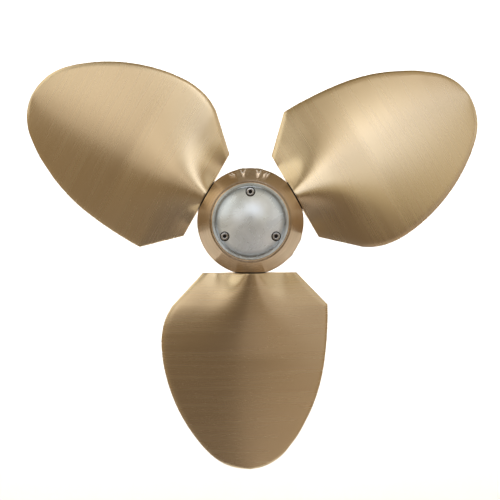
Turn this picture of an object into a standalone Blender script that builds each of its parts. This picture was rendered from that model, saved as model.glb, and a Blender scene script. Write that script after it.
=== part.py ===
"""Three-bladed feathering propeller for a sailing yacht.

Metres, +Z up. The shaft axis runs along Y: the zinc anode at the aft end faces
-Y and the shaft comes in from +Y. The origin is where the blade axes meet the
shaft axis, inside the tapered bore.
"""

import math

import bmesh
import bpy
from mathutils import Matrix, Vector

# Overall
BLADE_ANGLES = (-90.0, 30.0, 150.0)   # degrees from +X towards +Z
REST_PITCH = 6.0                      # degrees, leading edge forward
GAP = 0.0003                          # running and seating gap

# Hub shell, radii and stations along the shaft
HUB_R = 0.0529
HUB_HALF_Y = 0.0190                   # half length of the round middle
AFT_CONE_R = 0.0396
AFT_CONE_Y = -0.0408
FRONT_CONE_R = 0.0420
FRONT_CONE_Y = 0.0400
FLAT_R = 0.0503                       # flat under each blade root
SPLIT = 0.00015                       # half the joint between the shells

# Shaft boss inside the hub
BOSS_R = 0.0280
BOSS_FRONT_Y = 0.0530
BOSS_AFT_Y = -0.0270
COLLAR_R = 0.0340
BORE_FRONT_R = 0.0160
BORE_AFT_R = 0.0124
KEYWAY_W = 0.0080
KEYWAY_TOP = 0.0192
NUT_SPACE_R = 0.0230
NUT_SPACE_Y = -0.0390

# Anode
ANODE_R = 0.0368
ANODE_BASE_Y = -0.0425
ANODE_SKIRT_R = 0.0345
ANODE_SKIRT_Y = -0.0452
ANODE_TOP_Y = -0.0650
ANODE_SCREW_PCR = 0.0279
ANODE_SCREW_ANGLES = (90.0, 210.0, 330.0)
ANODE_HEAD_R = 0.0037
ANODE_POCKET_R = 0.0046
ANODE_POCKET_Y = -0.0520

# Front shell screws, three pairs between the blades
SHELL_SCREW_R = 0.0455
SHELL_SCREW_ANGLES = (-43.0, -17.0, 77.0, 103.0, 197.0, 223.0)
SHELL_POCKET_R = 0.0050
SHELL_POCKET_Y = 0.0235

# Pitch stop screws on the hub's round middle, two pairs
STOP_SCREW_ANGLES = (-40.0, -20.0, 80.0, 100.0)
STOP_SCREW_Y = -0.0100
STOP_HEAD_R = 0.0037
STOP_HEAD_TOP = 0.0539
STOP_SEAT = 0.0480

# Blade, measured outwards from the shaft axis
ROOT_U = 0.0521
JOURNAL_R = 0.0130
JOURNAL_END_U = 0.0300
FLANGE_R = 0.0175
FLANGE_TOP_U = 0.0390
WASHER_R = 0.0153
WASHER_BOTTOM_U = FLAT_R + 0.0002
WASHER_TOP_U = ROOT_U - 0.0003

# Offset table: station, trailing edge, leading edge
OFFSETS = (
    (0.0521, 0.0485, 0.0474),
    (0.0590, 0.0554, 0.0541),
    (0.0665, 0.0629, 0.0616),
    (0.0760, 0.0721, 0.0709),
    (0.0857, 0.0797, 0.0803),
    (0.0950, 0.0849, 0.0806),
    (0.1060, 0.0887, 0.0804),
    (0.1220, 0.0907, 0.0796),
    (0.1400, 0.0894, 0.0779),
    (0.1580, 0.0859, 0.0752),
    (0.1760, 0.0804, 0.0707),
    (0.1930, 0.0733, 0.0646),
    (0.2080, 0.0651, 0.0573),
    (0.2210, 0.0564, 0.0501),
    (0.2320, 0.0477, 0.0420),
    (0.2410, 0.0389, 0.0344),
    (0.2480, 0.0292, 0.0254),
    (0.2530, 0.0180, 0.0150),
    (0.2552, 0.0080, 0.0062),
)
EDGE_HALF = 0.0011                    # half thickness left at the edge
CREST_HALF = 0.0105                   # half thickness at the crest
CREST_U = 0.0930                      # where the crest is thickest
CREST_ROOT = 0.0100                   # crest of the plain plate at the root
CREST_TIP = 0.0020
CREST_ROUND = 0.48                    # share of the half chord rounded over
SLOPE_POWER = 1.12                    # 1 is a flat slope down to the edge
STEM_HALF = 0.0150                    # half thickness of the stem at the root
STEM_WIDTH = 0.0138                   # its half width there
STEM_FAN = 0.52                       # how fast it widens outwards
STEM_LENGTH = 0.1080                  # where it has faded out
HOLLOW_DEPTH = 0.0028                 # hollow beside the stem, at the root
HOLLOW_V = 0.0335                     # its middle, from the blade axis
HOLLOW_REACH_U = 0.0268
HOLLOW_REACH_V = 0.0300
CHORD_POINTS = (-1.0, -0.8, -0.62, -0.47, -0.35, -0.25, -0.175, -0.115,
                -0.065, -0.02, 0.02, 0.065, 0.115, 0.175, 0.25, 0.35,
                0.47, 0.62, 0.8, 1.0)


def clear_scene():
    for obj in list(bpy.data.objects):
        bpy.data.objects.remove(obj, do_unlink=True)
    for mesh in list(bpy.data.meshes):
        bpy.data.meshes.remove(mesh)


def collection(name):
    coll = bpy.data.collections.new(name)
    bpy.context.scene.collection.children.link(coll)
    return coll


def material(name, colour, roughness, metallic):
    mat = bpy.data.materials.new(name)
    mat.use_nodes = True
    shader = mat.node_tree.nodes["Principled BSDF"]
    shader.inputs["Base Color"].default_value = (*colour, 1.0)
    shader.inputs["Roughness"].default_value = roughness
    shader.inputs["Metallic"].default_value = metallic
    mat.diffuse_color = (*colour, 1.0)
    return mat


def add_object(name, mesh, coll, mat=None):
    obj = bpy.data.objects.new(name, mesh)
    coll.objects.link(obj)
    if mat is not None:
        mesh.materials.append(mat)
    return obj


def as_cutter(obj):
    obj.hide_render = True
    obj.display_type = "WIRE"
    return obj


def outline_mesh(name, points, closed):
    """Edges through (radius, height) points, standing in the XZ plane."""
    mesh = bpy.data.meshes.new(name)
    bm = bmesh.new()
    verts = [bm.verts.new((r, 0.0, z)) for r, z in points]
    for a, b in zip(verts, verts[1:]):
        bm.edges.new((a, b))
    if closed:
        bm.edges.new((verts[-1], verts[0]))
    bm.to_mesh(mesh)
    bm.free()
    return mesh


def turned(name, points, steps, coll, mat=None, closed=False):
    """A profile turned about its own Z, running down its outer side."""
    obj = add_object(name, outline_mesh(name, points, closed), coll, mat)
    screw = obj.modifiers.new("Turn", "SCREW")
    screw.axis = "Z"
    screw.angle = math.tau
    screw.steps = steps
    screw.render_steps = steps
    screw.use_merge_vertices = True
    screw.merge_threshold = 0.00001
    screw.use_smooth_shade = True
    return obj


def along_y(obj):
    """Local +Z becomes world +Y, forward along the shaft."""
    obj.rotation_euler = (-math.pi / 2.0, 0.0, 0.0)
    return obj


def along_radius(obj, angle):
    """Local +Z points outwards at the given angle, local +Y stays forward."""
    obj.rotation_mode = "ZYX"
    obj.rotation_euler = (0.0, math.radians(90.0 - angle), 0.0)
    return obj


def radial_point(radius, angle, y=0.0):
    a = math.radians(angle)
    return Vector((radius * math.cos(a), y, radius * math.sin(a)))


def cut(obj, cutter, operation="DIFFERENCE"):
    boolean = obj.modifiers.new("Cut", "BOOLEAN")
    boolean.operation = operation
    boolean.solver = "EXACT"
    boolean.object = cutter
    return boolean


def cut_all(obj, coll):
    boolean = obj.modifiers.new("Cut", "BOOLEAN")
    boolean.operation = "DIFFERENCE"
    boolean.solver = "EXACT"
    boolean.operand_type = "COLLECTION"
    boolean.collection = coll
    return boolean


def ring(name, inner, outer, low, high, steps, coll, mat):
    points = ((outer, high), (outer, low), (inner, low), (inner, high))
    return turned(name, points, steps, coll, mat, closed=True)


# Tools that shape the hub: flats, journal bores, screw pockets

def blade_seat_cutters(coll):
    for i, angle in enumerate(BLADE_ANGLES, 1):
        bpy.ops.mesh.primitive_cube_add(size=1.0)
        flat = bpy.context.object
        flat.name = f"flat_cutter_{i}"
        flat.data.transform(Matrix.Diagonal((0.08, 0.08, 0.02, 1.0)))
        for old in flat.users_collection:
            old.objects.unlink(flat)
        coll.objects.link(flat)
        along_radius(flat, angle)
        flat.location = radial_point(FLAT_R + 0.01, angle)
        as_cutter(flat)
        bore = turned(f"journal_cutter_{i}", (
            (0.0, FLAT_R + 0.004),
            (JOURNAL_R + GAP, FLAT_R + 0.004),
            (JOURNAL_R + GAP, FLANGE_TOP_U + GAP),
            (FLANGE_R + GAP, FLANGE_TOP_U + GAP),
            (FLANGE_R + GAP, BOSS_R - 0.002),
            (0.0, BOSS_R - 0.002)), 40, coll)
        along_radius(bore, angle)
        as_cutter(bore)


def stop_pocket_cutters(coll):
    for i, angle in enumerate(STOP_SCREW_ANGLES, 1):
        pocket = turned(f"stop_cutter_{i}", (
            (0.0, 0.058),
            (STOP_HEAD_R + GAP, 0.058),
            (STOP_HEAD_R + GAP, STOP_SEAT - GAP),
            (0.0, STOP_SEAT - GAP)), 20, coll)
        along_radius(pocket, angle)
        pocket.location = radial_point(0.0, angle, STOP_SCREW_Y)
        as_cutter(pocket)


def shell_pocket_cutters(coll):
    for i, angle in enumerate(SHELL_SCREW_ANGLES, 1):
        pocket = turned(f"shell_cutter_{i}", (
            (0.0, 0.060),
            (SHELL_POCKET_R + GAP, 0.060),
            (SHELL_POCKET_R + GAP, SHELL_POCKET_Y),
            (0.0034, SHELL_POCKET_Y),
            (0.0034, SHELL_POCKET_Y - 0.0150),
            (0.0, SHELL_POCKET_Y - 0.0150)), 20, coll)
        along_y(pocket)
        pocket.location = radial_point(SHELL_SCREW_R, angle)
        as_cutter(pocket)


# Hub shells

def hub_aft_shell(coll, mat, seats, stops):
    inner = BOSS_R + GAP
    points = (
        (HUB_R, -SPLIT),
        (HUB_R, -HUB_HALF_Y),
        (HUB_R - 0.0008, -HUB_HALF_Y - 0.0008),
        (AFT_CONE_R, AFT_CONE_Y),
        (AFT_CONE_R - 0.0010, AFT_CONE_Y),
        (AFT_CONE_R - 0.0010, AFT_CONE_Y + 0.0006),
        (AFT_CONE_R - 0.0013, AFT_CONE_Y + 0.0006),
        (AFT_CONE_R - 0.0013, AFT_CONE_Y - 0.0002),
        (ANODE_R + 0.0004, ANODE_BASE_Y + GAP),
        (NUT_SPACE_R, ANODE_BASE_Y + GAP),
        (NUT_SPACE_R, BOSS_AFT_Y - GAP),
        (inner, BOSS_AFT_Y - GAP),
        (inner, -SPLIT))
    shell = turned("hub_aft_shell", points, 72, coll, mat, closed=True)
    along_y(shell)
    cut_all(shell, seats)
    cut_all(shell, stops)
    return shell


def hub_front_shell(coll, mat, seats, pockets):
    inner = BOSS_R + GAP
    points = (
        (FRONT_CONE_R - 0.0008, FRONT_CONE_Y + 0.0008),
        (FRONT_CONE_R, FRONT_CONE_Y),
        (HUB_R - 0.0008, HUB_HALF_Y + 0.0008),
        (HUB_R, HUB_HALF_Y),
        (HUB_R, SPLIT),
        (inner, SPLIT),
        (inner, FRONT_CONE_Y - 0.0040),
        (COLLAR_R + 0.0010, FRONT_CONE_Y - 0.0040),
        (COLLAR_R + 0.0010, FRONT_CONE_Y + 0.0008))
    shell = turned("hub_front_shell", points, 72, coll, mat, closed=True)
    along_y(shell)
    cut_all(shell, seats)
    cut_all(shell, pockets)
    return shell


def shaft_boss(coll, cutters, mat):
    """The inner piece that is keyed to the shaft."""
    points = (
        (COLLAR_R - 0.0008, BOSS_FRONT_Y),
        (COLLAR_R, BOSS_FRONT_Y - 0.0008),
        (COLLAR_R, FRONT_CONE_Y + 0.0012),
        (BOSS_R, FRONT_CONE_Y + 0.0012),
        (BOSS_R, BOSS_AFT_Y),
        (BORE_AFT_R, BOSS_AFT_Y),
        (BORE_FRONT_R, BOSS_FRONT_Y - 0.0010),
        (BORE_FRONT_R + 0.0010, BOSS_FRONT_Y))
    boss = turned("shaft_boss", points, 48, coll, mat, closed=True)
    along_y(boss)
    bpy.ops.mesh.primitive_cube_add(size=1.0)
    keyway = bpy.context.object
    keyway.name = "keyway_cutter"
    length = BOSS_FRONT_Y - BOSS_AFT_Y + 0.01
    middle = (BOSS_FRONT_Y + BOSS_AFT_Y) / 2.0
    keyway.data.transform(Matrix.Diagonal((KEYWAY_W, length, KEYWAY_TOP, 1.0)))
    keyway.location = (0.0, middle, KEYWAY_TOP / 2.0)
    for old in keyway.users_collection:
        old.objects.unlink(keyway)
    cutters.objects.link(keyway)
    as_cutter(keyway)
    cut(boss, keyway)
    return boss


def front_seal(coll, mat):
    """Black seal lying in the front shell's recess, round the boss."""
    seal = ring("front_seal", BOSS_R + 2 * GAP, COLLAR_R + 0.0010 - GAP,
                FRONT_CONE_Y - 0.0040 + GAP, FRONT_CONE_Y + 0.0012 - GAP,
                48, coll, mat)
    return along_y(seal)


# Anode

def anode_profile():
    """Skirt, steep shoulder and low dome, from the aft tip to the base."""
    points = [(0.0, ANODE_TOP_Y)]
    shoulder_r = 0.0318
    shoulder_y = -0.0556
    for i in range(1, 6):
        t = i / 5.0
        r = shoulder_r * t
        points.append((r, ANODE_TOP_Y + (shoulder_y - ANODE_TOP_Y) * t ** 2.2))
    points.append((0.0333, -0.0520))
    points.append((ANODE_SKIRT_R, ANODE_SKIRT_Y))
    points.append((ANODE_R, ANODE_BASE_Y))
    points.append((0.0, ANODE_BASE_Y))
    return list(reversed(points))


def anode(coll, cutters, mat):
    dome = turned("anode", anode_profile(), 60, coll, mat)
    along_y(dome)
    for i, angle in enumerate(ANODE_SCREW_ANGLES, 1):
        pocket = turned(f"anode_cutter_{i}", (
            (0.0, ANODE_POCKET_Y),
            (ANODE_POCKET_R, ANODE_POCKET_Y),
            (ANODE_POCKET_R, -0.070),
            (0.0, -0.070)), 20, cutters)
        along_y(pocket)
        pocket.location = radial_point(ANODE_SCREW_PCR, angle)
        as_cutter(pocket)
        cut(dome, pocket)
    return dome


# Screws

def socket_screw(name, head_r, head_h, socket_r, coll, mat, shank=0.0):
    """Head standing on local z = 0 with a hexagon socket in its top."""
    points = [(0.0, head_h), (head_r - 0.0005, head_h),
              (head_r, head_h - 0.0005), (head_r, 0.0)]
    if shank > 0.0:
        points += [(0.0030, 0.0), (0.0030, -shank), (0.0, -shank)]
    else:
        points.append((0.0, 0.0))
    screw = turned(name, points, 20, coll, mat)
    bpy.ops.mesh.primitive_cylinder_add(vertices=6, radius=socket_r,
                                        depth=head_h)
    socket = bpy.context.object
    socket.name = name + "_socket"
    socket.data.transform(Matrix.Translation((0.0, 0.0, head_h)))
    socket.parent = screw
    as_cutter(socket)
    cut(screw, socket)
    return screw, socket


def place_socket(socket, cutters):
    for old in socket.users_collection:
        old.objects.unlink(socket)
    cutters.objects.link(socket)


def screws(coll, cutters, mat):
    for i, angle in enumerate(ANODE_SCREW_ANGLES, 1):
        screw, socket = socket_screw(f"anode_screw_{i}", ANODE_HEAD_R,
                                     0.0040, 0.0019, coll, mat)
        screw.rotation_euler = (math.pi / 2.0, 0.0, 0.0)
        screw.location = radial_point(ANODE_SCREW_PCR, angle,
                                      ANODE_POCKET_Y - GAP)
        place_socket(socket, cutters)
    for i, angle in enumerate(SHELL_SCREW_ANGLES, 1):
        screw, socket = socket_screw(f"shell_screw_{i}", SHELL_POCKET_R,
                                     0.0060, 0.0026, coll, mat, shank=0.0140)
        along_y(screw)
        screw.location = radial_point(SHELL_SCREW_R, angle,
                                      SHELL_POCKET_Y + GAP)
        place_socket(socket, cutters)
    for i, angle in enumerate(STOP_SCREW_ANGLES, 1):
        screw, socket = socket_screw(f"stop_screw_{i}", STOP_HEAD_R,
                                     STOP_HEAD_TOP - STOP_SEAT, 0.0020,
                                     coll, mat)
        along_radius(screw, angle)
        screw.location = radial_point(STOP_SEAT, angle, STOP_SCREW_Y)
        place_socket(socket, cutters)


# Blades

def crest_half(u):
    """Half thickness along the blade axis, without the stem."""
    if u < CREST_U:
        t = (CREST_U - u) / (CREST_U - ROOT_U)
        return CREST_HALF - (CREST_HALF - CREST_ROOT) * t * t
    t = (u - CREST_U) / (OFFSETS[-1][0] - CREST_U)
    return CREST_HALF - (CREST_HALF - CREST_TIP) * t ** 1.2


def stem_rise(u, v):
    """The stem stands on the plate at the root, fans out and fades."""
    fade = max(0.0, 1.0 - (u - ROOT_U) / STEM_LENGTH)
    fade = fade * fade * (3.0 - 2.0 * fade)
    width = STEM_WIDTH + STEM_FAN * (u - ROOT_U)
    shape = math.exp(-(abs(v) / width) ** 2.5)
    return (STEM_HALF - CREST_ROOT) * fade * shape


def hollow_drop(u, v):
    """Shallow bowl on each side of the stem, open at the root edge."""
    along = (u - ROOT_U) / HOLLOW_REACH_U
    aside = (abs(v) - HOLLOW_V) / HOLLOW_REACH_V
    inside = max(0.0, 1.0 - math.hypot(along, aside))
    return HOLLOW_DEPTH * inside ** 2.16


def half_thickness(u, v, across):
    """Two slopes from a rounded crest to the edges, with stem and hollows."""
    away = math.hypot(across, CREST_ROUND) - CREST_ROUND
    away /= math.hypot(1.0, CREST_ROUND) - CREST_ROUND
    slope = (crest_half(u) - EDGE_HALF) * (1.0 - away ** SLOPE_POWER)
    return EDGE_HALF + slope + stem_rise(u, v) - hollow_drop(u, v)


def chord_position(row, across):
    """Points crowd round the blade axis so that the stem stays round."""
    if across < 0.0:
        return across * row[1]
    return across * row[2]


def blade_mesh(name):
    bm = bmesh.new()
    aft = []
    front = []
    for row in OFFSETS:
        back_row = []
        face_row = []
        for across in CHORD_POINTS:
            v = chord_position(row, across)
            h = half_thickness(row[0], v, across)
            face_row.append(bm.verts.new((-v, -h, row[0])))
            back_row.append(bm.verts.new((-v, h, row[0])))
        aft.append(face_row)
        front.append(back_row)
    rows = len(OFFSETS)
    cols = len(CHORD_POINTS)
    for i in range(rows - 1):
        for j in range(cols - 1):
            bm.faces.new((aft[i][j], aft[i][j + 1],
                          aft[i + 1][j + 1], aft[i + 1][j]))
            bm.faces.new((front[i][j], front[i + 1][j],
                          front[i + 1][j + 1], front[i][j + 1]))
        bm.faces.new((aft[i][0], aft[i + 1][0], front[i + 1][0], front[i][0]))
        bm.faces.new((aft[i][-1], front[i][-1], front[i + 1][-1],
                      aft[i + 1][-1]))
    for j in range(cols - 1):
        bm.faces.new((aft[0][j], front[0][j], front[0][j + 1], aft[0][j + 1]))
        bm.faces.new((aft[-1][j], aft[-1][j + 1], front[-1][j + 1],
                      front[-1][j]))
    bmesh.ops.recalc_face_normals(bm, faces=bm.faces)
    mesh = bpy.data.meshes.new(name)
    bm.to_mesh(mesh)
    bm.free()
    mesh.shade_smooth()
    mesh.set_sharp_from_angle(angle=math.radians(35.0))
    return mesh


def blades(coll, cutters, mat, washer_mat):
    for i, angle in enumerate(BLADE_ANGLES, 1):
        pitch = (0.0, math.radians(90.0 - angle), math.radians(-REST_PITCH))
        blade = add_object(f"blade_{i}", blade_mesh(f"blade_{i}"), coll, mat)
        blade.rotation_mode = "ZYX"
        blade.rotation_euler = pitch
        journal = turned(f"journal_{i}", (
            (0.0, ROOT_U + 0.0020),
            (JOURNAL_R - 0.0010, ROOT_U + 0.0020),
            (JOURNAL_R, ROOT_U + 0.0010),
            (JOURNAL_R, FLANGE_TOP_U),
            (FLANGE_R, FLANGE_TOP_U),
            (FLANGE_R, JOURNAL_END_U),
            (0.0, JOURNAL_END_U)), 40, cutters)
        journal.rotation_mode = "ZYX"
        journal.rotation_euler = pitch
        as_cutter(journal)
        cut(blade, journal, "UNION")
        washer = ring(f"blade_washer_{i}", JOURNAL_R + GAP, WASHER_R,
                      WASHER_BOTTOM_U, WASHER_TOP_U, 40, coll, washer_mat)
        along_radius(washer, angle)


def main():
    clear_scene()
    parts = collection("feathering_propeller")
    cutters = collection("cutters")
    seats = collection("blade_seat_cutters")
    stops = collection("stop_cutters")
    pockets = collection("shell_pocket_cutters")
    bronze = material("bronze", (0.52, 0.38, 0.20), 0.35, 1.0)
    turned_bronze = material("turned_bronze", (0.50, 0.35, 0.17), 0.3, 1.0)
    zinc = material("zinc", (0.62, 0.65, 0.65), 0.45, 1.0)
    steel = material("stainless_steel", (0.7, 0.7, 0.7), 0.3, 1.0)
    black = material("black_polymer", (0.02, 0.02, 0.02), 0.6, 0.0)
    blade_seat_cutters(seats)
    stop_pocket_cutters(stops)
    shell_pocket_cutters(pockets)
    hub_aft_shell(parts, turned_bronze, seats, stops)
    hub_front_shell(parts, turned_bronze, seats, pockets)
    shaft_boss(parts, cutters, turned_bronze)
    front_seal(parts, black)
    anode(parts, cutters, zinc)
    screws(parts, cutters, steel)
    blades(parts, cutters, bronze, black)
    bpy.context.view_layer.update()


main()
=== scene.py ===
import math

import bmesh
import bpy
from mathutils import Matrix, Vector


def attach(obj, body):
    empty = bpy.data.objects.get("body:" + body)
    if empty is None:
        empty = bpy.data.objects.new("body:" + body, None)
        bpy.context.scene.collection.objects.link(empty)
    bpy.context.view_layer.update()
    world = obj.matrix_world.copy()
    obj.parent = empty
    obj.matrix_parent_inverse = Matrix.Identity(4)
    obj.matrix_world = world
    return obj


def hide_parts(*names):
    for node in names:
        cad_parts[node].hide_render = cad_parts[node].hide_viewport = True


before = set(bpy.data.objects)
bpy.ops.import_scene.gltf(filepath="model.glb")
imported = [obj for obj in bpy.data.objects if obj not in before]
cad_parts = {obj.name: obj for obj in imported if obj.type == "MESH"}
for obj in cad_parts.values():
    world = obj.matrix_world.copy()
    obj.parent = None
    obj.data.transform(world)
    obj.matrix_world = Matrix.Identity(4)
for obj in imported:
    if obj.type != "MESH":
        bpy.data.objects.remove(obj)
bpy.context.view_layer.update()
scene = bpy.context.scene


# The blades: three separate bronze castings, crowned on both faces and brushed
# across. Each has a thick stem that fans out from its straight root between two
# shallow bowls, and stands on a round journal that turns in the hub.
ROOT = 0.0521
TRAILING_ROOT = 0.0485
LEADING_ROOT = 0.0474
CORNER = 0.0857
TIP = 0.2556
TRAILING = ((0.0857, 0.0797), (0.0950, 0.0849), (0.1060, 0.0887),
            (0.1220, 0.0907), (0.1400, 0.0894), (0.1580, 0.0859),
            (0.1760, 0.0804), (0.1930, 0.0733), (0.2080, 0.0651),
            (0.2210, 0.0564), (0.2320, 0.0477), (0.2410, 0.0389),
            (0.2480, 0.0292), (TIP, 0.0))
LEADING = ((0.0857, 0.0803), (0.0950, 0.0806), (0.1060, 0.0804),
           (0.1220, 0.0796), (0.1400, 0.0779), (0.1580, 0.0752),
           (0.1760, 0.0707), (0.1930, 0.0646), (0.2080, 0.0573),
           (0.2210, 0.0501), (0.2320, 0.0420), (0.2410, 0.0344),
           (0.2480, 0.0254), (TIP, 0.0))
BLADES = {"blade_1": -90.0, "blade_2": 30.0, "blade_3": 150.0}
REST_PITCH = 6.0
EDGE_HALF = 0.0011
CREST_HALF = 0.0105
CREST_U = 0.0930
CREST_ROOT = 0.0092
CREST_TIP = 0.0020
CREST_ROUND = 0.48
SLOPE_POWER = 1.12
STEM_HALF = 0.0180
STEM_WIDTH = 0.0138
STEM_FAN = 0.52
STEM_LENGTH = 0.0870
HOLLOW_DEPTH = 0.0028
HOLLOW_V = 0.0335
HOLLOW_REACH_U = 0.0268
HOLLOW_REACH_V = 0.0300
RIM_WIDTH = 0.0036
RIM_DROP = 0.0009
RIM_SHARES = (0.0, 0.010, 0.020, 0.031, 0.044)
JOURNAL_R = 0.0130
JOURNAL_LENGTH = 0.0235
JOURNAL_MIDDLE = 0.04175
FLANGE_SHARE = 1.346
ROWS = 96
ROOT_ROWS = 16
COLS = 84
TIP_START = 0.05


def eased(rows, x):
    """Smooth curve through rows of (x, y), flat at no row but a turning one."""
    xs = [r[0] for r in rows]
    ys = [r[1] for r in rows]
    n = len(rows)
    slopes = [(ys[i + 1] - ys[i]) / (xs[i + 1] - xs[i]) for i in range(n - 1)]
    tangents = [slopes[0]]
    for i in range(1, n - 1):
        a, b = slopes[i - 1], slopes[i]
        tangents.append(2.0 * a * b / (a + b) if a * b > 0.0 else 0.0)
    tangents.append(slopes[-1])
    i = 0
    while i < n - 2 and x > xs[i + 1]:
        i += 1
    h = xs[i + 1] - xs[i]
    t = (x - xs[i]) / h
    start = ys[i] * (1 + 2 * t) + tangents[i] * h * t
    end = ys[i + 1] * (3 - 2 * t) - tangents[i + 1] * h * (1 - t)
    return start * (1 - t) ** 2 + end * t * t


def edge_offset(rows, root_half, u):
    """Distance of an edge from the blade axis: a 45 degree cut, then the curve."""
    if u <= CORNER:
        return root_half + (u - ROOT) * (rows[0][1] - root_half) / (CORNER - ROOT)
    bent = [(math.sqrt(TIP - r[0]), r[1]) for r in reversed(rows)]
    return eased(bent, math.sqrt(max(TIP - u, 0.0)))


def crest_half(u):
    """Half thickness along the blade axis, without the stem."""
    if u < CREST_U:
        t = (CREST_U - u) / (CREST_U - ROOT)
        return CREST_HALF - (CREST_HALF - CREST_ROOT) * t * t
    t = (u - CREST_U) / (TIP - CREST_U)
    return CREST_HALF - (CREST_HALF - CREST_TIP) * t ** 1.2


def half_thickness(u, v, across):
    """Two slopes from a rounded crest, with a stem that fans out from the
    root and a shallow bowl on each side of it."""
    away = math.hypot(across, CREST_ROUND) - CREST_ROUND
    away /= math.hypot(1.0, CREST_ROUND) - CREST_ROUND
    slope = (crest_half(u) - EDGE_HALF) * (1.0 - away ** SLOPE_POWER)
    fade = max(0.0, 1.0 - (u - ROOT) / STEM_LENGTH) ** 1.3
    stem = math.exp(-(abs(v) / (STEM_WIDTH + STEM_FAN * (u - ROOT))) ** 2.5)
    stem *= (STEM_HALF - CREST_ROOT) * fade
    inside = math.hypot((u - ROOT) / HOLLOW_REACH_U,
                        (abs(v) - HOLLOW_V) / HOLLOW_REACH_V)
    bowl = HOLLOW_DEPTH * max(0.0, 1.0 - inside) ** 2.16
    return EDGE_HALF + slope + stem - bowl


def rim_drop(rows, root_half, u, v):
    """How far the rounded rim falls away in the last few millimetres."""
    half = edge_offset(rows, root_half, u)
    lean = (half - edge_offset(rows, root_half, u - 0.0002)) / 0.0002
    into_rim = 1.0 - (half - abs(v)) / math.hypot(1.0, lean) / RIM_WIDTH
    return RIM_DROP * max(0.0, into_rim) ** 1.6


def place_blade(angle):
    """From a blade that points up to its own angle, at its fine pitch."""
    turn = Matrix.Rotation(math.radians(90.0 - angle), 4, "Y")
    return turn @ Matrix.Rotation(math.radians(-REST_PITCH), 4, "Z")


def all_off():
    """Leaves edit mode and deselects everything."""
    if bpy.context.mode != "OBJECT":
        bpy.ops.object.mode_set(mode="OBJECT")
    bpy.ops.object.select_all(action="DESELECT")


all_off()
bpy.ops.mesh.primitive_grid_add(x_subdivisions=COLS, y_subdivisions=ROWS, size=2.0)
pattern = bpy.context.object
pattern.name = "blade_pattern"
rim_columns = len(RIM_SHARES) - 1
rim_start = 1.0 - 2.0 * rim_columns / COLS
for vert in pattern.data.vertices:
    row = round((vert.co.y + 1.0) * ROWS / 2.0)
    from_edge = round((1.0 - abs(vert.co.x)) * COLS / 2.0)
    if from_edge < rim_columns:
        across = math.copysign(1.0 - RIM_SHARES[from_edge], vert.co.x)
    else:
        across = vert.co.x / rim_start
        across *= (1.0 - RIM_SHARES[-1]) * (0.62 + 0.38 * across ** 2)
    if row <= ROOT_ROWS:
        u = ROOT + (CORNER - ROOT) * row / ROOT_ROWS
    else:
        q = (ROWS - row + TIP_START) / (ROWS - ROOT_ROWS + TIP_START)
        u = TIP - (TIP - CORNER) * q * q
    side = ((TRAILING, TRAILING_ROOT) if across < 0.0
            else (LEADING, LEADING_ROOT))
    v = across * edge_offset(*side, u)
    thick = half_thickness(u, v, across) - rim_drop(*side, u, v)
    vert.co = (-v, -thick, u)
grain = pattern.data.uv_layers.active or pattern.data.uv_layers.new(name="grain")
grain.name = "grain"
for loop in pattern.data.loops:
    at = pattern.data.vertices[loop.vertex_index].co
    grain.data[loop.index].uv = (at.z, at.x)
bpy.ops.object.mode_set(mode="EDIT")
bpy.ops.mesh.select_all(action="SELECT")
bpy.ops.mesh.duplicate()
bpy.ops.transform.resize(value=(1.0, -1.0, 1.0), center_override=(0.0, 0.0, 0.0))
bpy.ops.mesh.select_all(action="DESELECT")
bpy.ops.mesh.select_mode(type="EDGE")
bpy.ops.mesh.select_non_manifold(extend=False, use_wire=False, use_boundary=True,
                                 use_multi_face=False, use_non_contiguous=False,
                                 use_verts=False)
bpy.ops.mesh.bridge_edge_loops()
bpy.ops.mesh.select_all(action="SELECT")
bpy.ops.mesh.normals_make_consistent(inside=False)
bpy.ops.object.mode_set(mode="OBJECT")
soften = pattern.modifiers.new("edges", "BEVEL")
soften.width = 0.0009
soften.segments = 3
soften.limit_method = "ANGLE"
soften.angle_limit = math.radians(50.0)
bpy.ops.object.modifier_apply(modifier="edges")
bpy.ops.object.shade_smooth_by_angle(angle=math.radians(40.0))

all_off()
bpy.ops.mesh.primitive_cylinder_add(vertices=64, radius=JOURNAL_R,
                                    depth=JOURNAL_LENGTH,
                                    location=(0.0, 0.0, JOURNAL_MIDDLE))
journal = bpy.context.object
bpy.ops.object.transform_apply(location=True)
bpy.ops.object.mode_set(mode="EDIT")
shape = bmesh.from_edit_mesh(journal.data)
for face in shape.faces:
    face.select = face.normal.z < -0.9
bmesh.update_edit_mesh(journal.data)
bpy.ops.mesh.extrude_region_move()
bpy.ops.transform.resize(value=(FLANGE_SHARE, FLANGE_SHARE, 1.0),
                         center_override=(0.0, 0.0, 0.03))
bpy.ops.object.mode_set(mode="OBJECT")
bpy.ops.object.shade_smooth_by_angle(angle=math.radians(40.0))
pattern.select_set(True)
bpy.context.view_layer.objects.active = pattern
bpy.ops.object.join()


def start_finish(name):
    """A new material with its node tree and its shader."""
    finish = bpy.data.materials.new(name)
    finish.use_nodes = True
    tree = finish.node_tree
    return finish, tree, tree.nodes["Principled BSDF"]


def piece_place(tree):
    """Where a point lies on the finished piece."""
    return tree.nodes.new("ShaderNodeTexCoord").outputs["Object"]


def mottling(tree, place, scale, detail, distortion=0.0):
    """A fine uneven pattern, read at a place on the piece."""
    noise = tree.nodes.new("ShaderNodeTexNoise")
    noise.inputs["Scale"].default_value = scale
    noise.inputs["Detail"].default_value = detail
    noise.inputs["Distortion"].default_value = distortion
    tree.links.new(place, noise.inputs["Vector"])
    return noise.outputs["Fac"]


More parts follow.
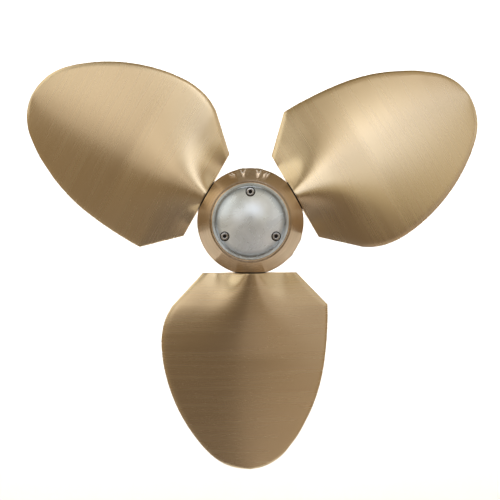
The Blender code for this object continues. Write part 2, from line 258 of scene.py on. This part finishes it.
def tones(tree, pattern, *stops):
    """Colours a pattern through stops of (place, colour)."""
    ramp = tree.nodes.new("ShaderNodeValToRGB")
    marks = ramp.color_ramp.elements
    for i, (place, colour) in enumerate(stops):
        mark = marks[i] if i < 2 else marks.new(place)
        mark.position = place
        mark.color = (*colour, 1.0)
    tree.links.new(pattern, ramp.inputs["Fac"])
    return ramp.outputs["Color"]


def vary_gloss(tree, shader, pattern, read, roughness):
    """Roughness that goes from one value to the other with the pattern."""
    rough = tree.nodes.new("ShaderNodeMapRange")
    for socket, number in zip(("From Min", "From Max", "To Min", "To Max"),
                              (*read, *roughness)):
        rough.inputs[socket].default_value = number
    tree.links.new(pattern, rough.inputs["Value"])
    tree.links.new(rough.outputs["Result"], shader.inputs["Roughness"])


def raise_relief(tree, shader, pattern, strength, depth):
    """The pattern as a very shallow relief."""
    bump = tree.nodes.new("ShaderNodeBump")
    bump.inputs["Strength"].default_value = strength
    bump.inputs["Distance"].default_value = depth
    tree.links.new(pattern, bump.inputs["Height"])
    tree.links.new(bump.outputs["Normal"], shader.inputs["Normal"])


def drawn_out(tree, place, scale):
    """The same place, drawn out along the brushing."""
    stretch = tree.nodes.new("ShaderNodeMapping")
    stretch.inputs["Scale"].default_value = scale
    tree.links.new(place, stretch.inputs["Vector"])
    return stretch.outputs["Vector"]


blade_bronze, tree, shader = start_finish("brushed_bronze")
shader.inputs["Metallic"].default_value = 1.0
shader.inputs["Anisotropic"].default_value = 0.4
uv = tree.nodes.new("ShaderNodeUVMap")
uv.uv_map = "grain"
tangent = tree.nodes.new("ShaderNodeTangent")
tangent.direction_type = "UV_MAP"
tangent.uv_map = "grain"
tree.links.new(tangent.outputs["Tangent"], shader.inputs["Tangent"])
brushing = uv.outputs["UV"]
strokes = mottling(tree, drawn_out(tree, brushing, (1500.0, 24.0, 1.0)), 1.0, 5.0)
bands = mottling(tree, drawn_out(tree, brushing, (170.0, 7.0, 1.0)), 1.0, 3.0)
spots = mottling(tree, piece_place(tree), 14.0, 4.0)
blend = None
for layer, share in ((strokes, 0.20), (bands, 0.40), (spots, 0.40)):
    step = tree.nodes.new("ShaderNodeMath")
    step.operation = "MULTIPLY_ADD"
    step.inputs[1].default_value = share
    step.inputs[2].default_value = 0.0
    tree.links.new(layer, step.inputs[0])
    if blend is not None:
        tree.links.new(blend, step.inputs[2])
    blend = step.outputs[0]
tree.links.new(tones(tree, blend, (0.30, (0.653, 0.513, 0.322)),
                     (0.70, (0.699, 0.559, 0.360))),
               shader.inputs["Base Color"])
vary_gloss(tree, shader, bands, read=(0.25, 0.75), roughness=(0.25, 0.29))
raise_relief(tree, shader, strokes, strength=0.009, depth=0.0002)

for name, angle in BLADES.items():
    blade = pattern.copy()
    blade.data = pattern.data.copy()
    blade.name = name + "_brushed"
    scene.collection.objects.link(blade)
    blade.data.transform(place_blade(angle))
    blade.data.materials.clear()
    blade.data.materials.append(blade_bronze)
    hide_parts(name)
    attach(blade, name + "_body")
bpy.data.objects.remove(pattern)


# The hub shells: two bronze bodies turned on the lathe and screwed together at
# the blade plane, with a flat milled under each blade. The aft one tapers to
# the anode and carries a few short graver cuts, the front one to the shaft.
HUB_R = 0.0529
HUB_HALF = 0.0190
SHOULDER_R = 0.0521
SHOULDER_Y = 0.0198
CONE_END_R = 0.0396
CONE_END_Y = 0.0408
NUT_SPACE_R = 0.0230
BOSS_BORE_R = 0.0283
FLAT_R = 0.0503
FLAT_CUTTER = (0.09, 0.09, 0.02)
JOURNAL_BORE_R = JOURNAL_R + 0.0003
JOURNAL_BORE_DEPTH = 0.0250
JOURNAL_BORE_MIDDLE = 0.0450
SPLIT = 0.00015
EDGE_BREAK = 0.00018
SHELL_SCREW_ANGLES = (-43.0, -17.0, 77.0, 103.0, 197.0, 223.0)
SHELL_SCREW_CIRCLE = 0.0455
SHELL_POCKET_R = 0.0053
ALONG_SHAFT = (math.pi / 2.0, 0.0, 0.0)


def turned_piece(name, start_r, start_y, steps, sides=144):
    """A lathe piece: a short bar whose far end is drawn out step by step
    through (radius, station) along the shaft axis, and then closed up."""
    all_off()
    first_r, first_y = steps[0]
    bpy.ops.mesh.primitive_cylinder_add(vertices=sides, radius=start_r,
                                        depth=abs(first_y - start_y),
                                        rotation=ALONG_SHAFT,
                                        location=(0.0, (start_y + first_y) / 2.0, 0.0))
    piece = bpy.context.object
    piece.name = name
    bpy.ops.object.transform_apply(location=True, rotation=True)
    bpy.ops.object.mode_set(mode="EDIT")
    bpy.ops.mesh.select_mode(type="FACE")
    shape = bmesh.from_edit_mesh(piece.data)
    side = 1.0 if first_y > start_y else -1.0
    for face in shape.faces:
        face.select_set(face.normal.y * side > 0.9)
    bmesh.update_edit_mesh(piece.data)
    r, y = start_r, first_y
    if abs(first_r - start_r) > 1e-7:
        bpy.ops.transform.resize(value=(first_r / r, 1.0, first_r / r),
                                 center_override=(0.0, y, 0.0))
        r = first_r
    for next_r, next_y in steps[1:]:
        bpy.ops.mesh.extrude_region_move()
        bpy.ops.transform.translate(value=(0.0, next_y - y, 0.0))
        bpy.ops.transform.resize(value=(next_r / r, 1.0, next_r / r),
                                 center_override=(0.0, next_y, 0.0))
        r, y = next_r, next_y
    bpy.ops.object.mode_set(mode="OBJECT")
    return piece


def take_up(piece):
    """Makes one piece the only one selected, and the active one."""
    all_off()
    piece.select_set(True)
    bpy.context.view_layer.objects.active = piece


def open_ring(piece):
    """Takes out both end faces and joins the two open rims with a face ring."""
    take_up(piece)
    bpy.ops.object.mode_set(mode="EDIT")
    bpy.ops.mesh.select_mode(type="FACE")
    shape = bmesh.from_edit_mesh(piece.data)
    for face in shape.faces:
        face.select_set(len(face.verts) > 8)
    bmesh.update_edit_mesh(piece.data)
    bpy.ops.mesh.delete(type="ONLY_FACE")
    bpy.ops.mesh.select_mode(type="EDGE")
    bpy.ops.mesh.select_all(action="DESELECT")
    bpy.ops.mesh.select_non_manifold(extend=False, use_wire=False, use_boundary=True,
                                     use_multi_face=False, use_non_contiguous=False,
                                     use_verts=False)
    bpy.ops.mesh.bridge_edge_loops()
    bpy.ops.mesh.select_all(action="SELECT")
    bpy.ops.mesh.normals_make_consistent(inside=False)
    bpy.ops.object.mode_set(mode="OBJECT")


def take_out(piece, tool, materials="INDEX"):
    """Cuts the tool's shape out of the piece and puts the tool away."""
    take_up(piece)
    cut = piece.modifiers.new("cut", "BOOLEAN")
    cut.operation = "DIFFERENCE"
    cut.solver = "EXACT"
    cut.material_mode = materials
    cut.object = tool
    bpy.ops.object.modifier_apply(modifier="cut")
    bpy.data.objects.remove(tool)


def finish_edges(piece, width, angle=30.0, segments=2):
    """Breaks the sharp edges and shades the turned faces smooth."""
    take_up(piece)
    soften = piece.modifiers.new("edges", "BEVEL")
    soften.width = width
    soften.segments = segments
    soften.limit_method = "ANGLE"
    soften.angle_limit = math.radians(angle)
    bpy.ops.object.modifier_apply(modifier="edges")
    bpy.ops.object.shade_smooth_by_angle(angle=math.radians(28.0))


def drill(piece, circle, angle, middle, radius, depth, shade_lining=None):
    """A round pocket along the shaft axis, on a circle round that axis."""
    a = math.radians(angle)
    all_off()
    bpy.ops.mesh.primitive_cylinder_add(
        vertices=40, radius=radius, depth=depth, rotation=ALONG_SHAFT,
        location=(circle * math.cos(a), middle, circle * math.sin(a)))
    bpy.ops.object.transform_apply(location=True, rotation=True)
    pocket = bpy.context.object
    # An optional finish for the pocket walls, used here for painted shade.
    if shade_lining:
        pocket.data.materials.append(shade_lining)
    take_out(piece, pocket, materials="TRANSFER" if shade_lining else "INDEX")


def blade_seats(piece):
    """The flat under each blade and the bore that its journal turns in."""
    for angle in BLADES.values():
        turn = Matrix.Rotation(math.radians(90.0 - angle), 4, "Y")
        all_off()
        bpy.ops.mesh.primitive_cube_add(size=1.0)
        flat = bpy.context.object
        flat.data.transform(Matrix.Diagonal((*FLAT_CUTTER, 1.0)))
        lift = FLAT_R + FLAT_CUTTER[2] / 2.0
        flat.data.transform(turn @ Matrix.Translation((0.0, 0.0, lift)))
        take_out(piece, flat)
        all_off()
        bpy.ops.mesh.primitive_cylinder_add(vertices=72, radius=JOURNAL_BORE_R,
                                            depth=JOURNAL_BORE_DEPTH)
        bore = bpy.context.object
        bore.data.transform(turn @ Matrix.Translation((0.0, 0.0, JOURNAL_BORE_MIDDLE)))
        take_out(piece, bore)


hub_aft = turned_piece("hub_aft_turned", HUB_R, -SPLIT, (
    (HUB_R, -HUB_HALF),
    (SHOULDER_R, -SHOULDER_Y),
    (CONE_END_R, -CONE_END_Y),
    (0.0386, -CONE_END_Y),
    (0.0386, -0.0402),
    (0.0383, -0.0402),
    (0.0383, -0.0410),
    (0.0372, -0.0422),
    (NUT_SPACE_R, -0.0422),
    (NUT_SPACE_R, -0.0273),
    (BOSS_BORE_R, -0.0273),
    (BOSS_BORE_R, -SPLIT)))
open_ring(hub_aft)
blade_seats(hub_aft)

turned_bronze, tree, shader = start_finish("turned_bronze")
shader.inputs["Metallic"].default_value = 1.0
shader.inputs["Anisotropic"].default_value = 0.75
shader.inputs["Anisotropic Rotation"].default_value = 0.25
tangent = tree.nodes.new("ShaderNodeTangent")
tangent.direction_type = "RADIAL"
tangent.axis = "Y"
tree.links.new(tangent.outputs["Tangent"], shader.inputs["Tangent"])
# The tool marks depend on the radius and the station only.
place = piece_place(tree)
parts = tree.nodes.new("ShaderNodeSeparateXYZ")
tree.links.new(place, parts.inputs["Vector"])
across = tree.nodes.new("ShaderNodeCombineXYZ")
tree.links.new(parts.outputs["X"], across.inputs["X"])
tree.links.new(parts.outputs["Z"], across.inputs["Y"])
radius = tree.nodes.new("ShaderNodeVectorMath")
radius.operation = "LENGTH"
tree.links.new(across.outputs["Vector"], radius.inputs[0])
groove_at = tree.nodes.new("ShaderNodeCombineXYZ")
tree.links.new(radius.outputs["Value"], groove_at.inputs["X"])
tree.links.new(parts.outputs["Y"], groove_at.inputs["Y"])
grooves = mottling(tree, groove_at.outputs["Vector"], 3200.0, 4.0)
passes = mottling(tree, groove_at.outputs["Vector"], 800.0, 3.0)
stain = mottling(tree, place, 30.0, 5.0)
mark = tree.nodes.new("ShaderNodeMath")
mark.operation = "MULTIPLY_ADD"
mark.inputs[1].default_value = 1.8
mark.inputs[2].default_value = -0.9
tree.links.new(passes, mark.inputs[0])
shade = tree.nodes.new("ShaderNodeMath")
shade.operation = "ADD"
tree.links.new(mark.outputs[0], shade.inputs[0])
tree.links.new(stain, shade.inputs[1])
tree.links.new(tones(tree, shade.outputs[0], (0.30, (0.50, 0.385, 0.265)),
                     (0.75, (0.65, 0.515, 0.37))),
               shader.inputs["Base Color"])
vary_gloss(tree, shader, grooves, read=(0.3, 0.7), roughness=(0.20, 0.28))
raise_relief(tree, shader, grooves, strength=0.25, depth=0.0001)

fresh_cut, tree, shader = start_finish("fresh_cut_bronze")
shader.inputs["Metallic"].default_value = 0.2
shader.inputs["Roughness"].default_value = 0.45
burr = mottling(tree, piece_place(tree), 900.0, 2.0)
tree.links.new(tones(tree, burr, (0.35, (0.66, 0.60, 0.52)),
                     (0.60, (0.98, 0.93, 0.86))),
               shader.inputs["Base Color"])

# Each cut: its angle round the axis and its slant on the cone.
TICK_PLACES = ((69.5, -24.0), (72.5, -24.0), (79.0, -12.0), (82.0, 18.0),
               (97.0, -18.0), (100.0, 12.0), (110.0, 24.0), (113.0, 24.0))
TICK_SIZE = (0.0011, 0.0066, 0.0010)
TICK_STATION = -0.0240
TICK_R = 0.0496
CONE_TILT = math.atan2(SHOULDER_R - CONE_END_R, CONE_END_Y - SHOULDER_Y)
hub_aft.data.materials.append(turned_bronze)
for angle, slant in TICK_PLACES:
    all_off()
    bpy.ops.mesh.primitive_cube_add(size=1.0)
    tick = bpy.context.object
    tick.data.materials.append(fresh_cut)
    tick.data.transform(Matrix.Diagonal((*TICK_SIZE, 1.0)))
    tick.data.transform(Matrix.Rotation(math.radians(slant), 4, "Z"))
    tick.data.transform(Matrix.Rotation(CONE_TILT, 4, "X"))
    tick.data.transform(Matrix.Translation((0.0, TICK_STATION, TICK_R)))
    tick.data.transform(Matrix.Rotation(math.radians(90.0 - angle), 4, "Y"))
    take_out(hub_aft, tick, materials="TRANSFER")
finish_edges(hub_aft, EDGE_BREAK)

hub_front = turned_piece("hub_front_turned", HUB_R, SPLIT, (
    (HUB_R, HUB_HALF),
    (SHOULDER_R, SHOULDER_Y),
    (0.0420, 0.0400),
    (0.0412, 0.0408),
    (0.0350, 0.0408),
    (0.0350, 0.0360),
    (BOSS_BORE_R, 0.0360),
    (BOSS_BORE_R, SPLIT)))
open_ring(hub_front)
blade_seats(hub_front)
for angle in SHELL_SCREW_ANGLES:
    drill(hub_front, SHELL_SCREW_CIRCLE, angle, 0.0435, SHELL_POCKET_R, 0.0400)
finish_edges(hub_front, EDGE_BREAK)
hub_front.data.materials.append(turned_bronze)

for piece, node in ((hub_aft, "hub_aft_shell"), (hub_front, "hub_front_shell")):
    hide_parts(node)
    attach(piece, "hub")


# The shaft boss: the bronze core that is keyed to the tapered shaft end. Its
# collar comes out of the front shell, with the bore and the keyway in it.
BOSS_R = 0.0280
BOSS_AFT = -0.0270
BOSS_FRONT = 0.0530
COLLAR_R = 0.0340
COLLAR_START = 0.0412
KEYWAY = (0.008, 0.09, 0.0192)
boss = turned_piece("shaft_boss_turned", BOSS_R, BOSS_AFT, (
    (BOSS_R, COLLAR_START),
    (COLLAR_R, COLLAR_START),
    (COLLAR_R, 0.0522),
    (0.0332, BOSS_FRONT),
    (0.0170, BOSS_FRONT),
    (0.0160, 0.0520),
    (0.0124, BOSS_AFT)), sides=96)
open_ring(boss)
all_off()
bpy.ops.mesh.primitive_cube_add(size=1.0)
key_cut = bpy.context.object
key_cut.data.transform(Matrix.Diagonal((*KEYWAY, 1.0)))
key_cut.data.transform(Matrix.Translation((0.0, 0.013, KEYWAY[2] / 2.0)))
take_out(boss, key_cut)
finish_edges(boss, 0.00025)
boss.data.materials.append(turned_bronze)
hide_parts("shaft_boss")
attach(boss, "hub")


# The anode: a sacrificial zinc casting, domed, with a steep shoulder and a short
# skirt. A dark band on the shoulder is painted shade, partly oxidation of the zinc.
# It is screwed to the aft shell through three pockets near its edge, dark inside
# with painted shade.
ANODE_R = 0.0368
ANODE_BASE = -0.0425
DOME_R = 0.0312
DOME_TOP = -0.0650
DOME_RISE = 0.0090
DOME_STEPS = 12
ANODE_SCREW_ANGLES = (90.0, 210.0, 330.0)
ANODE_SCREW_CIRCLE = 0.0279
ANODE_POCKET_R = 0.0046
# The colour of the dark band on the shoulder: painted shade, partly oxidation of the
# zinc.
SHOULDER_SHADE_AND_OXIDATION = (0.30, 0.34, 0.39)
zinc_steps = [(ANODE_R, -0.0428), (0.0345, -0.0452), (0.0333, -0.0520),
              (0.0329, -0.0535), (0.0322, -0.0548), (DOME_R, DOME_TOP + DOME_RISE)]
for i in range(1, DOME_STEPS):
    share = 1.0 - i / DOME_STEPS
    zinc_steps.append((DOME_R * share, DOME_TOP + DOME_RISE * share ** 2.2))
zinc_steps.append((0.0005, DOME_TOP))
dome = turned_piece("anode_cast", ANODE_R, ANODE_BASE, zinc_steps, sides=120)

cast_zinc, tree, shader = start_finish("cast_zinc")
shader.inputs["Metallic"].default_value = 0.38
place = piece_place(tree)
cloud = mottling(tree, place, 60.0, 6.0, distortion=0.6)
grit = mottling(tree, place, 1400.0, 3.0)
zinc = tones(tree, cloud, (0.32, (0.72, 0.785, 0.825)), (0.70, (0.88, 0.94, 0.97)))
# Darker in a band along the shaft over the steep shoulder: painted shade, partly
# oxidation of the zinc.
station = tree.nodes.new("ShaderNodeSeparateXYZ")
tree.links.new(place, station.inputs["Vector"])
along = tree.nodes.new("ShaderNodeMapRange")
along.inputs["From Min"].default_value = -0.0600
along.inputs["From Max"].default_value = -0.0420
tree.links.new(station.outputs["Y"], along.inputs["Value"])
shoulder_shade_and_oxidation = tones(tree, along.outputs["Result"], (0.10, (1.0, 1.0, 1.0)), (0.30, SHOULDER_SHADE_AND_OXIDATION),
             (0.78, SHOULDER_SHADE_AND_OXIDATION), (0.86, (0.75, 0.77, 0.79)))
zinc_with_shoulder_shade = tree.nodes.new("ShaderNodeVectorMath")
zinc_with_shoulder_shade.operation = "MULTIPLY"
tree.links.new(zinc, zinc_with_shoulder_shade.inputs[0])
tree.links.new(shoulder_shade_and_oxidation, zinc_with_shoulder_shade.inputs[1])
tree.links.new(zinc_with_shoulder_shade.outputs["Vector"], shader.inputs["Base Color"])
vary_gloss(tree, shader, cloud, read=(0.3, 0.7), roughness=(0.22, 0.34))
raise_relief(tree, shader, grit, strength=0.12, depth=0.0002)

# A near-black finish for the anode pockets and the hexagon sockets: painted shade in
# these recesses.
pocket_painted_shade, tree, shader = start_finish("pocket_painted_shade")
shader.inputs["Roughness"].default_value = 0.8
shader.inputs["Specular IOR Level"].default_value = 0.2
shade_mottle = mottling(tree, piece_place(tree), 700.0, 3.0)
tree.links.new(tones(tree, shade_mottle, (0.35, (0.010, 0.008, 0.008)),
                     (0.70, (0.050, 0.042, 0.040))),
               shader.inputs["Base Color"])

dome.data.materials.append(cast_zinc)
# The pockets are dark inside with painted shade.
for angle in ANODE_SCREW_ANGLES:
    drill(dome, ANODE_SCREW_CIRCLE, angle, -0.0620, ANODE_POCKET_R, 0.0200,
          shade_lining=pocket_painted_shade)
finish_edges(dome, 0.0003, angle=35.0)
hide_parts("anode")
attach(dome, "hub")


# The screws: plain stainless socket heads, sunk in their pockets on the anode
# and in the front shell, with painted shade inside the hexagon sockets. Four more
# stand a little out of the hub's round side as pitch stops.
SMALL_HEAD_R = 0.0037
STOP_SCREW_ANGLES = (-40.0, -20.0, 80.0, 100.0)
STOP_SCREW_Y = -0.0100
STOP_SEAT = 0.0480
screw_steel, tree, shader = start_finish("stainless_steel")
shader.inputs["Metallic"].default_value = 1.0
smear = mottling(tree, piece_place(tree), 350.0, 4.0)
tree.links.new(tones(tree, smear, (0.0, (0.50, 0.50, 0.49)),
                     (1.0, (0.74, 0.74, 0.72))),
               shader.inputs["Base Color"])
vary_gloss(tree, shader, smear, read=(0.0, 1.0), roughness=(0.18, 0.36))


def socket_head(radius, height, socket):
    """One head, standing on z = 0, with a hexagon socket half its height deep."""
    all_off()
    bpy.ops.mesh.primitive_cylinder_add(vertices=48, radius=radius, depth=height,
                                        location=(0.0, 0.0, height / 2.0))
    head = bpy.context.object
    bpy.ops.object.transform_apply(location=True)
    all_off()
    bpy.ops.mesh.primitive_cylinder_add(vertices=6, radius=socket, depth=height,
                                        location=(0.0, 0.0, height))
    bpy.ops.object.transform_apply(location=True)
    hexagon = bpy.context.object
    # The socket is darkened with painted shade.
    hexagon.data.materials.append(pocket_painted_shade)
    head.data.materials.append(screw_steel)
    take_out(head, hexagon, materials="TRANSFER")
    finish_edges(head, radius * 0.10, angle=40.0, segments=3)
    return head


def set_screws(pattern, label, places):
    """Puts a copy of one head at each place and puts the pattern away."""
    for i, place in enumerate(places, 1):
        screw = pattern.copy()
        screw.data = pattern.data.copy()
        screw.name = f"{label}_{i}_head"
        scene.collection.objects.link(screw)
        screw.data.transform(place)
        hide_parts(f"{label}_{i}")
        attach(screw, "hub")
    bpy.data.objects.remove(pattern)


def around(radius, angle, y, turn):
    """A place on a circle round the shaft axis, with the head turned there."""
    a = math.radians(angle)
    spot = Vector((radius * math.cos(a), y, radius * math.sin(a)))
    return Matrix.Translation(spot) @ turn


facing_aft = Matrix.Rotation(math.pi / 2.0, 4, "X")
facing_front = Matrix.Rotation(-math.pi / 2.0, 4, "X")
set_screws(socket_head(SMALL_HEAD_R, height=0.0040, socket=0.0019), "anode_screw",
           [around(ANODE_SCREW_CIRCLE, angle, -0.0523, facing_aft)
            for angle in ANODE_SCREW_ANGLES])
set_screws(socket_head(0.0050, height=0.0060, socket=0.0026), "shell_screw",
           [around(SHELL_SCREW_CIRCLE, angle, 0.0238, facing_front)
            for angle in SHELL_SCREW_ANGLES])
set_screws(socket_head(SMALL_HEAD_R, height=0.0059, socket=0.0020), "stop_screw",
           [around(STOP_SEAT, angle, STOP_SCREW_Y,
                   Matrix.Rotation(math.radians(90.0 - angle), 4, "Y"))
            for angle in STOP_SCREW_ANGLES])


# The seals: a black ring in the front shell round the boss and a thin black
# washer under each blade root, whose black is painted shade for the dark gap there.
SEAL_OUTER, SEAL_INNER = 0.0347, 0.0286
SEAL_AFT, SEAL_FRONT = 0.0363, 0.0409
WASHER_OUTER, WASHER_INNER = 0.0160, 0.0133
WASHER_BOTTOM, WASHER_TOP = 0.0504, 0.0520
# Black for the front seal; on the blade washers the same black is painted shade.
black_polymer, tree, shader = start_finish("black_polymer")
shader.inputs["Specular IOR Level"].default_value = 0.2
haze = mottling(tree, piece_place(tree), 500.0, 2.0)
tree.links.new(tones(tree, haze, (0.0, (0.006, 0.006, 0.006)),
                     (1.0, (0.018, 0.017, 0.016))),
               shader.inputs["Base Color"])
vary_gloss(tree, shader, haze, read=(0.0, 1.0), roughness=(0.45, 0.65))

seal = turned_piece("front_seal_ring", SEAL_OUTER, SEAL_AFT, (
    (SEAL_OUTER, SEAL_FRONT), (SEAL_INNER, SEAL_FRONT), (SEAL_INNER, SEAL_AFT)),
    sides=96)
open_ring(seal)
finish_edges(seal, 0.0003)
seal.data.materials.append(black_polymer)
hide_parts("front_seal")
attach(seal, "hub")
# The washers' black stands in for the shadowed gap under each blade root: painted
# shade.
washer = turned_piece("washer_pattern", WASHER_OUTER, WASHER_BOTTOM, (
    (WASHER_OUTER, WASHER_TOP), (WASHER_INNER, WASHER_TOP),
    (WASHER_INNER, WASHER_BOTTOM)), sides=72)
open_ring(washer)
finish_edges(washer, 0.0002)
washer.data.materials.append(black_polymer)
for i, angle in enumerate(BLADES.values(), 1):
    ring = washer.copy()
    ring.data = washer.data.copy()
    ring.name = f"blade_washer_{i}_ring"
    scene.collection.objects.link(ring)
    ring.data.transform(Matrix.Rotation(math.radians(90.0 - angle), 4, "Y")
                        @ Matrix.Rotation(math.pi / 2.0, 4, "X"))
    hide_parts(f"blade_washer_{i}")
    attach(ring, "hub")
bpy.data.objects.remove(washer)


# The studio: a pale paper floor that curves up into a backdrop with its own
# light, large soft boxes round the camera, the brightest ones far out at the
# sides, and a dim warm room.
FLOOR_SIZE = (8.0, 0.55)
FLOOR_Z = -0.45
SWEEP_START = 0.45
SWEEP_R = 1.2
SWEEP_STEPS = 18
WALL_HEIGHT = 1.6
all_off()
bpy.ops.mesh.primitive_plane_add(size=1.0)
floor = bpy.context.object
floor.name = "studio_floor"
floor.data.transform(Matrix.Diagonal((*FLOOR_SIZE, 1.0, 1.0)))
floor.data.transform(Matrix.Translation(
    (0.0, SWEEP_START - FLOOR_SIZE[1] / 2.0, FLOOR_Z)))
bpy.ops.object.mode_set(mode="EDIT")
bpy.ops.mesh.select_mode(type="EDGE")
bpy.ops.mesh.select_all(action="DESELECT")
shape = bmesh.from_edit_mesh(floor.data)
for edge in shape.edges:
    if all(v.co.y > SWEEP_START - 0.05 for v in edge.verts):
        edge.select_set(True)
bmesh.update_edit_mesh(floor.data)
y, z = SWEEP_START, FLOOR_Z
for i in range(1, SWEEP_STEPS + 1):
    a = math.radians(90.0 * i / SWEEP_STEPS)
    next_y = SWEEP_START + SWEEP_R * math.sin(a)
    next_z = FLOOR_Z + SWEEP_R * (1.0 - math.cos(a))
    bpy.ops.mesh.extrude_region_move()
    bpy.ops.transform.translate(value=(0.0, next_y - y, next_z - z))
    y, z = next_y, next_z
bpy.ops.mesh.extrude_region_move()
bpy.ops.transform.translate(value=(0.0, 0.0, WALL_HEIGHT))
bpy.ops.object.mode_set(mode="OBJECT")
bpy.ops.object.shade_smooth()
paper, tree, shader = start_finish("studio_paper")
shader.inputs["Base Color"].default_value = (0.9, 0.9, 0.9, 1.0)
shader.inputs["Roughness"].default_value = 0.9
floor.data.materials.append(paper)


def softbox(name, spot, size, power, tint=(1.0, 1.0, 1.0), aim=(0.0, 0.0, 0.0)):
    """A soft light of the given width and height, turned to face its aim."""
    lamp = bpy.data.lights.new(name, "AREA")
    lamp.color = tint
    lamp.shape = "RECTANGLE"
    lamp.size = size[0]
    lamp.size_y = size[1]
    lamp.energy = power
    obj = bpy.data.objects.new(name, lamp)
    scene.collection.objects.link(obj)
    obj.location = spot
    towards = Vector(aim) - Vector(spot)
    obj.rotation_euler = towards.to_track_quat("-Z", "Y").to_euler()


# Each large soft light: angle from the shaft axis, angle round it from
# starboard, width, power and tint.
BOX_DISTANCE = 2.2
SOFTBOXES = {
    "right_of_lens": (25.0, 30.0, 0.9, 1.06, (1.00, 0.97, 0.69)),
    "above_right": (25.0, 60.0, 0.9, 2.40, (0.60, 0.71, 1.00)),
    "above_lens": (25.0, 90.0, 0.9, 3.09, (0.88, 0.93, 1.00)),
    "left_of_lens": (25.0, 150.0, 0.9, 2.18, (0.98, 0.97, 1.00)),
    "starboard": (45.0, 0.0, 1.3, 1.81, (0.78, 0.84, 1.00)),
    "overhead": (45.0, 75.0, 1.3, 1.46, (1.00, 0.92, 0.76)),
    "upper_port": (45.0, 140.0, 1.3, 1.26, (0.73, 0.89, 1.00)),
    "low_starboard": (45.0, 300.0, 1.3, 1.13, (1.00, 0.89, 0.84)),
    "far_starboard": (70.0, 30.0, 1.8, 4.48, (0.74, 0.87, 1.00)),
    "far_port": (70.0, 150.0, 1.8, 8.28, (0.93, 0.98, 1.00)),
}
for name, (off, around_axis, size, power, tint) in SOFTBOXES.items():
    off = math.radians(off)
    a = math.radians(around_axis)
    spot = BOX_DISTANCE * Vector((math.sin(off) * math.cos(a), -math.cos(off),
                                  math.sin(off) * math.sin(a)))
    softbox(name, spot, (size, size), power, tint)
softbox("backdrop_light", (0.0, 0.3, 1.6), (3.0, 0.8), 76.0, aim=(0.0, 1.6, 1.35))

# The room: its own colour all round, and what is added to it above, below and
# at the two sides, from a start on that axis.
ROOM = (0.134, 0.083, 0.036)
ROOM_SIDES = (((0.0, 0.0, 1.0), -0.25, (0.141, 0.142, 0.112)),
              ((0.0, 0.0, -1.0), -0.10, (0.081, 0.105, 0.147)),
              ((1.0, 0.0, 0.0), -0.10, (0.239, 0.191, 0.128)),
              ((-1.0, 0.0, 0.0), -0.10, (0.230, 0.193, 0.131)))
PAST_THE_PAPER = (0.86, 0.855, 0.845, 1.0)
world = bpy.data.worlds.new("studio")
scene.world = world
world.use_nodes = True
nodes = world.node_tree.nodes
links = world.node_tree.links
room_at = nodes.new("ShaderNodeTexCoord")
room = None
for way, start, tint in ROOM_SIDES:
    along = nodes.new("ShaderNodeVectorMath")
    along.operation = "DOT_PRODUCT"
    along.inputs[1].default_value = way
    links.new(room_at.outputs["Generated"], along.inputs[0])
    fade = nodes.new("ShaderNodeMapRange")
    fade.interpolation_type = "SMOOTHSTEP"
    fade.inputs["From Min"].default_value = start
    fade.inputs["From Max"].default_value = 0.9
    links.new(along.outputs["Value"], fade.inputs["Value"])
    wall = nodes.new("ShaderNodeVectorMath")
    wall.operation = "MULTIPLY_ADD"
    wall.inputs[1].default_value = tint
    wall.inputs[2].default_value = ROOM
    links.new(fade.outputs["Result"], wall.inputs[0])
    if room is not None:
        links.new(room.outputs["Vector"], wall.inputs[2])
    room = wall
links.new(room.outputs["Vector"], nodes["Background"].inputs["Color"])
# What shows past the edges of the paper is plain and pale.
pale = nodes.new("ShaderNodeBackground")
pale.inputs["Color"].default_value = PAST_THE_PAPER
ray = nodes.new("ShaderNodeLightPath")
seen = nodes.new("ShaderNodeMixShader")
links.new(ray.outputs["Is Camera Ray"], seen.inputs["Fac"])
links.new(nodes["Background"].outputs["Background"], seen.inputs[1])
links.new(pale.outputs["Background"], seen.inputs[2])
links.new(seen.outputs["Shader"], nodes["World Output"].inputs["Surface"])
scene.view_settings.view_transform = "Standard"


# The camera: on the shaft axis astern of the anode, aimed a little low.
eye = bpy.data.cameras.new("camera")
eye.lens = 50.8
eye.sensor_width = 36.0
camera = bpy.data.objects.new("camera", eye)
scene.collection.objects.link(camera)
camera.location = (0.0, -0.72, 0.0)
aim = Vector((-0.0004, 0.0, -0.0291))
camera.rotation_euler = (aim - camera.location).to_track_quat("-Z", "Y").to_euler()
scene.camera = camera
